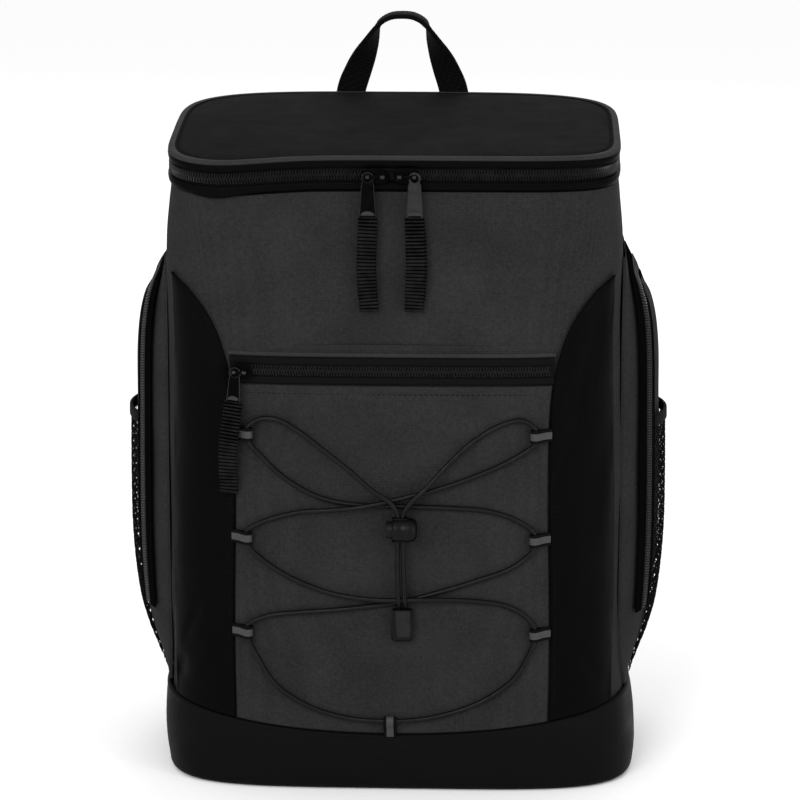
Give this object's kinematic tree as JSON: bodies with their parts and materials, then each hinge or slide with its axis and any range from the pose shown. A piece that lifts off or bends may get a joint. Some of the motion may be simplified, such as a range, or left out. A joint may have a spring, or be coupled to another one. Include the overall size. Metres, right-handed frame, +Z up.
{
  "type": "cooler backpack",
  "caption": "Insulated box backpack with zipped lid, laced front pocket, side pockets, grab handle and shoulder straps.",
  "frame": {"origin": "on the floor, under the middle of the body's plan", "axes": "+X to the viewer's right, +Y from the front to the straps, +Z up"},
  "size_m": [0.3654, 0.2714, 0.4941],
  "materials": {
    "grey_cloth": "plain woven, matte",
    "coated_cloth": "coated, low sheen",
    "black_webbing": "woven webbing, matte",
    "black_plastic": "satin",
    "grey_plastic": "satin",
    "dark_metal": "black, semi-gloss",
    "grey_metal": "grey metallic, semi-gloss",
    "mesh_cloth": "open net",
    "reflective_tape": "grey tape with a silver stripe"
  },
  "bodies": {
    "bag": {"main_body": "grey_cloth", "base_boot": "coated_cloth", "lid_lower_binding": "coated_cloth", "lid_upper_binding": "coated_cloth", "lid_panel": "grey_cloth", "lid_zip_tape": "black_webbing", "lid_zip_coil": "black_plastic", "lid_hinge_strip": "coated_cloth", "lid_left_slider": "dark_metal", "lid_right_slider": "dark_metal", "front_pocket": "grey_cloth", "pocket_zip_tape": "black_webbing", "pocket_zip_coil": "black_plastic", "pocket_slider": "dark_metal", "lock_barrel": "black_plastic", "bungee_cord": "black_webbing", "cord_end_cap": "grey_plastic", "cord_loop_bottom": "reflective_tape", "grab_handle": "black_webbing", "back_pad": "black_webbing", "wing_left": "coated_cloth", "side_pocket_left": "grey_cloth", "side_zip_tape_left": "black_webbing", "side_zip_coil_left": "black_plastic", "mesh_pocket_left": "mesh_cloth", "mesh_binding_left": "black_webbing", "shoulder_strap_left": "black_webbing", "strap_buckle_left": "black_plastic", "strap_webbing_left": "black_webbing", "cord_loop_left_1": "reflective_tape", "cord_loop_left_2": "reflective_tape", "cord_loop_left_3": "reflective_tape", "wing_right": "coated_cloth", "side_pocket_right": "grey_cloth", "side_zip_tape_right": "black_webbing", "side_zip_coil_right": "black_plastic", "mesh_pocket_right": "mesh_cloth", "mesh_binding_right": "black_webbing", "shoulder_strap_right": "black_webbing", "strap_buckle_right": "black_plastic", "strap_webbing_right": "black_webbing", "cord_loop_right_1": "reflective_tape", "cord_loop_right_2": "reflective_tape", "cord_loop_right_3": "reflective_tape"},
    "lid_left_pull_body": {"lid_left_pull": "dark_metal", "lid_left_ribbon": "black_webbing"},
    "lid_right_pull_body": {"lid_right_pull": "grey_metal", "lid_right_ribbon": "black_webbing"},
    "pocket_pull_body": {"pocket_pull": "dark_metal", "pocket_ribbon": "black_webbing"},
    "lock_button_body": {"lock_button": "grey_plastic"}
  },
  "joints": [
    {"name": "lid_left_pull_hinge", "type": "hinge", "parent": "bag", "child": "lid_left_pull_body", "pos_m": [-0.01485, -0.1025, 0.41369], "axis": [-1, 0, 0], "range_deg": [0, 150]},
    {"name": "lid_right_pull_hinge", "type": "hinge", "parent": "bag", "child": "lid_right_pull_body", "pos_m": [0.01505, -0.1025, 0.4137], "axis": [-1, 0, 0], "range_deg": [0, 150]},
    {"name": "pocket_pull_hinge", "type": "hinge", "parent": "bag", "child": "pocket_pull_body", "pos_m": [-0.10121, -0.10126, 0.2857], "axis": [-0.9875, 0.1576, 0], "range_deg": [0, 150]},
    {"name": "lock_button_slide", "type": "slide", "parent": "bag", "child": "lock_button_body", "axis": [1, 0, 0], "range_m": [0, 0.002], "stiffness_N_per_m": 800, "springref_m": -0.002}
  ]
}
